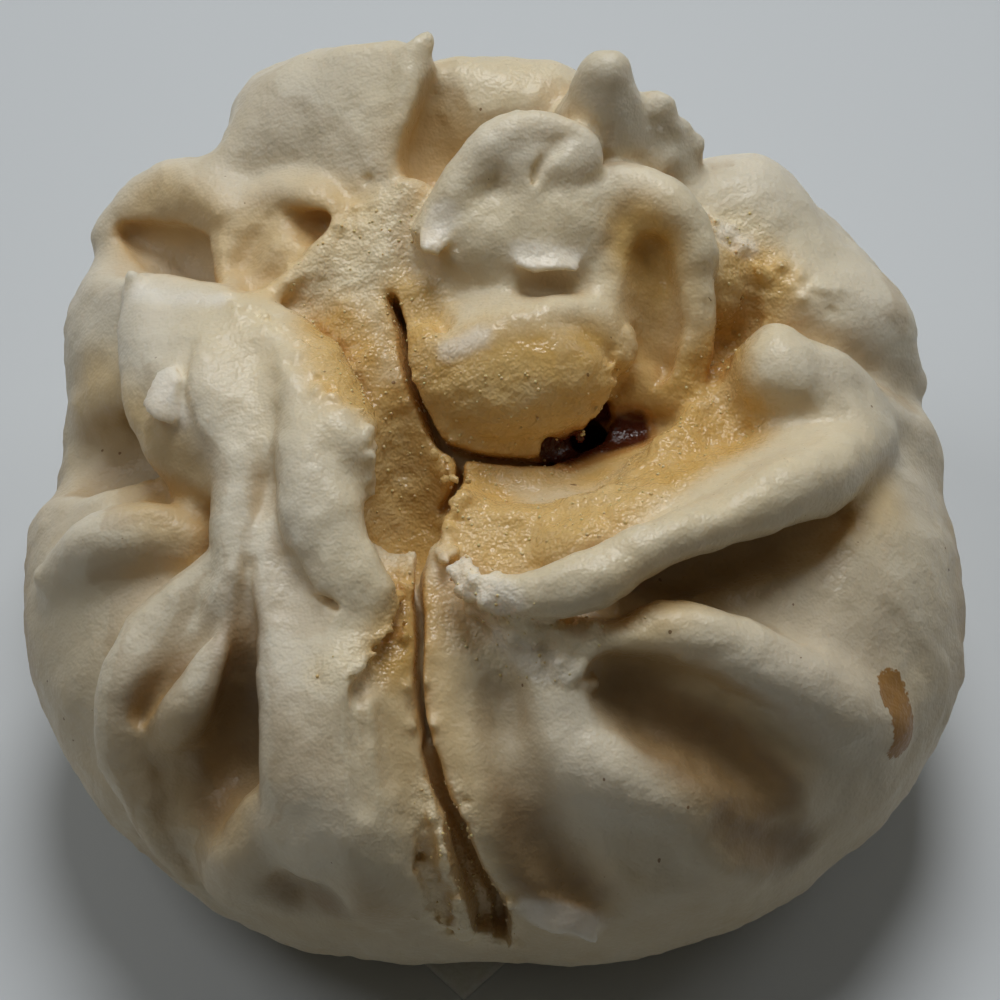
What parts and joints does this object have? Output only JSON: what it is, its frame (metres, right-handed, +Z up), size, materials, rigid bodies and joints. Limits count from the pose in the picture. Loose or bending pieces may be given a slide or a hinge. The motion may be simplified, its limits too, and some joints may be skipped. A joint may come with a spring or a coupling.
{
  "type": "steamed bun",
  "caption": "Steamed bun of soft pleated dough with a torn, folded crown that opens onto a dark meat filling, sitting on a small paper square.",
  "frame": {"origin": "middle of the footprint, on the table under the paper square", "axes": "+Z up; -Y towards the open side of the tear; +X to the right when looking at that side"},
  "size_m": [0.0988, 0.092, 0.0664],
  "materials": {
    "dough": "soft moist steamed dough, pale cream",
    "filling": "wet dark red-brown meat in sauce",
    "paper_liner": "thin translucent baking paper"
  },
  "bodies": {
    "root": {"dough": "dough", "filling": "filling", "paper_liner": "paper_liner"}
  },
  "joints": []
}
